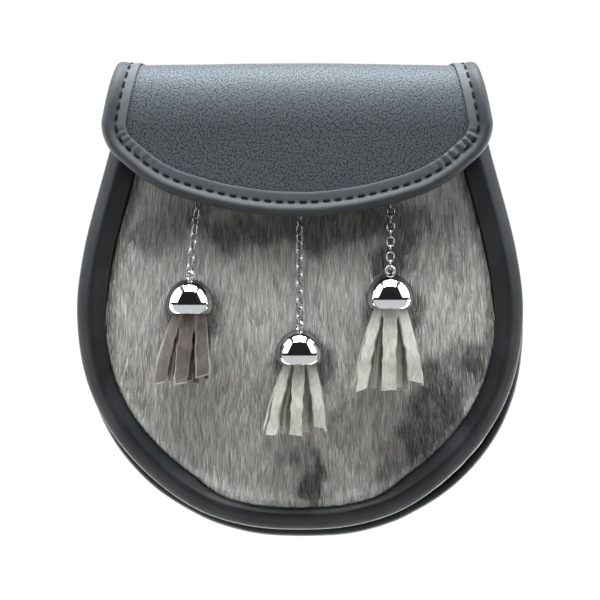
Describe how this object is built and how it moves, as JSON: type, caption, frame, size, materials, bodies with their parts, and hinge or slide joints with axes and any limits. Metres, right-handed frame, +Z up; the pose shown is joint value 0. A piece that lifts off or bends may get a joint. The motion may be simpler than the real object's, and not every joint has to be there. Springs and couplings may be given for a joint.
{
  "type": "sporran pouch",
  "caption": "Leather sporran pouch with a fur front, a pebbled flap with a stitched binding, and chain-hung tassels, worn on a strap through loops on its back.",
  "frame": {"origin": "on the line of the waist strap behind the back panel, midway between the two strap loops", "axes": "+Z up as worn, +X to the right as seen from the front, +Y towards the wearer; the fur front faces -Y"},
  "size_m": [0.1923, 0.0703, 0.2043],
  "materials": {
    "smooth_leather": "smooth, semi-matt, dark grey-black",
    "pebbled_leather": "pebbled grain, semi-gloss, dark grey-black",
    "fur": "short lying grey hair, mottled darker",
    "polished_metal": "mirror polished",
    "taupe_leather": "matt taupe with pale cut edges",
    "grey_leather": "matt light grey with pale cut edges",
    "cream_leather": "matt cream with pale cut edges"
  },
  "bodies": {
    "root": {"back_panel": "smooth_leather", "back_piping": "smooth_leather", "gusset": "smooth_leather", "front_panel": "fur", "front_rim": "smooth_leather", "flap": "pebbled_leather", "flap_binding": "smooth_leather", "flap_stud": "polished_metal", "strap_loop_left": "smooth_leather", "strap_loop_right": "smooth_leather", "chain_staple_left": "polished_metal", "chain_staple_centre": "polished_metal", "chain_staple_right": "polished_metal", "chain_left": "polished_metal", "chain_centre": "polished_metal", "chain_right": "polished_metal", "tassel_cap_left": "polished_metal", "tassel_cap_centre": "polished_metal", "tassel_cap_right": "polished_metal", "fringe_left": "taupe_leather", "fringe_centre": "grey_leather", "fringe_right": "cream_leather"}
  },
  "joints": []
}
